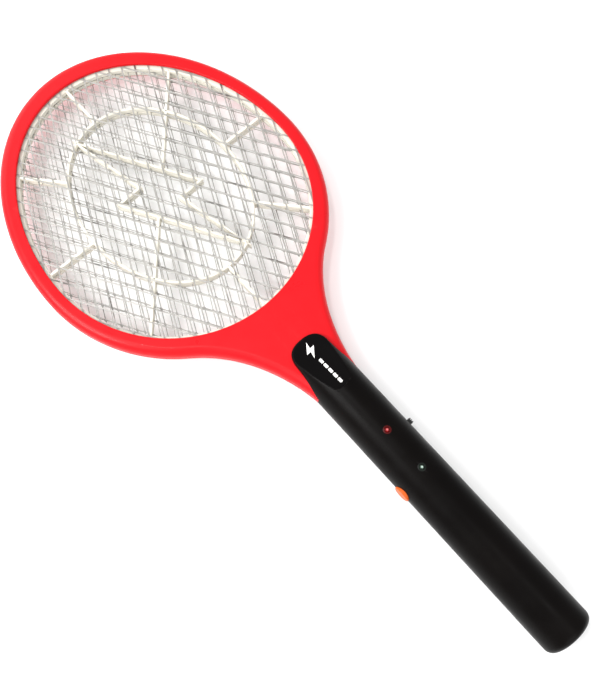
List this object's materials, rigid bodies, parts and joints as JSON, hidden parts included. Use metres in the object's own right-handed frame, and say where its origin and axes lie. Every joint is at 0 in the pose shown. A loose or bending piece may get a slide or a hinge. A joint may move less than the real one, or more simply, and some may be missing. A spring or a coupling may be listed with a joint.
{
  "type": "electric fly swatter",
  "caption": "Handheld electric fly swatter: an egg-shaped red frame holds stacked metal meshes and ribbed separators on a round black handle with slide switch, push button and LEDs.",
  "frame": {"origin": "middle of the underside of the racket lying on its back, below the middle of its length", "axes": "+Y along the handle towards the head's tip, +Z out of the front face, +X to the side of the slide switch"},
  "size_m": [0.2152, 0.5164, 0.0346],
  "materials": {
    "frame_red": "glossy moulded ABS, bright red",
    "separator_ivory": "satin moulded ivory plastic",
    "mesh_metal": "expanded bright aluminium",
    "handle_black": "satin moulded black ABS, glossy on the slanting facet",
    "control_black": "satin black nylon",
    "button_orange": "satin orange plastic",
    "plunger_white": "natural acetal",
    "led_red": "clear red epoxy, lit",
    "led_green": "clear epoxy, lit pale green",
    "circuit_board": "paper-phenolic board, bare on top",
    "ferrite": "sintered ferrite",
    "winding_copper": "enamelled copper under yellow tape",
    "capacitor_film": "dipped film capacitor",
    "battery_case": "blue shrink-wrapped battery",
    "pin_nickel": "nickel-plated brass",
    "contact_brass": "rolled brass strip",
    "lead_red": "red PVC insulation",
    "lead_black": "black PVC insulation",
    "switch_steel": "folded steel switch can",
    "screw_steel": "zinc-plated steel"
  },
  "bodies": {
    "racket": {"front_frame": "frame_red", "rear_frame": "frame_red", "front_separator": "separator_ivory", "rear_separator": "separator_ivory", "front_mesh": "mesh_metal", "centre_grid": "mesh_metal", "rear_mesh": "mesh_metal", "handle_front_shell": "handle_black", "handle_rear_shell": "handle_black", "slide_switch_body": "switch_steel", "momentary_switch": "control_black", "red_led": "led_red", "green_led": "led_green", "circuit_board": "circuit_board", "transformer_core": "ferrite", "transformer_winding": "winding_copper", "storage_capacitor": "capacitor_film", "battery": "battery_case", "charging_contact_left": "contact_brass", "charging_contact_right": "contact_brass", "charging_lead_left": "lead_black", "charging_lead_right": "lead_red", "battery_lead_left": "lead_black", "battery_lead_right": "lead_red", "grid_lead": "lead_red", "front_mesh_lead": "lead_black", "rear_mesh_lead": "lead_black", "handle_screw_1": "screw_steel", "handle_screw_2": "screw_steel", "handle_screw_3": "screw_steel", "frame_screw_1": "screw_steel", "frame_screw_2": "screw_steel", "frame_screw_3": "screw_steel", "frame_screw_4": "screw_steel", "frame_screw_5": "screw_steel", "frame_screw_6": "screw_steel"},
    "power_slide": {"slide_switch_knob": "control_black"},
    "push_button": {"push_button_cap": "button_orange", "push_button_plunger": "plunger_white"},
    "charging_plug": {"plug_carriage": "control_black", "plug_thumb_pad": "control_black", "plug_pin_left": "pin_nickel", "plug_pin_right": "pin_nickel"}
  },
  "joints": [
    {"name": "power_slide_travel", "type": "slide", "parent": "racket", "child": "power_slide", "axis": [0, 1, 0], "range_m": [-0.004, 0]},
    {"name": "button_press", "type": "slide", "parent": "racket", "child": "push_button", "axis": [1, 0, 0], "range_m": [0, 0.0015], "stiffness_N_per_m": 500, "springref_m": -0.0006},
    {"name": "plug_slide", "type": "slide", "parent": "racket", "child": "charging_plug", "axis": [0, -1, 0], "range_m": [0, 0.019]}
  ]
}
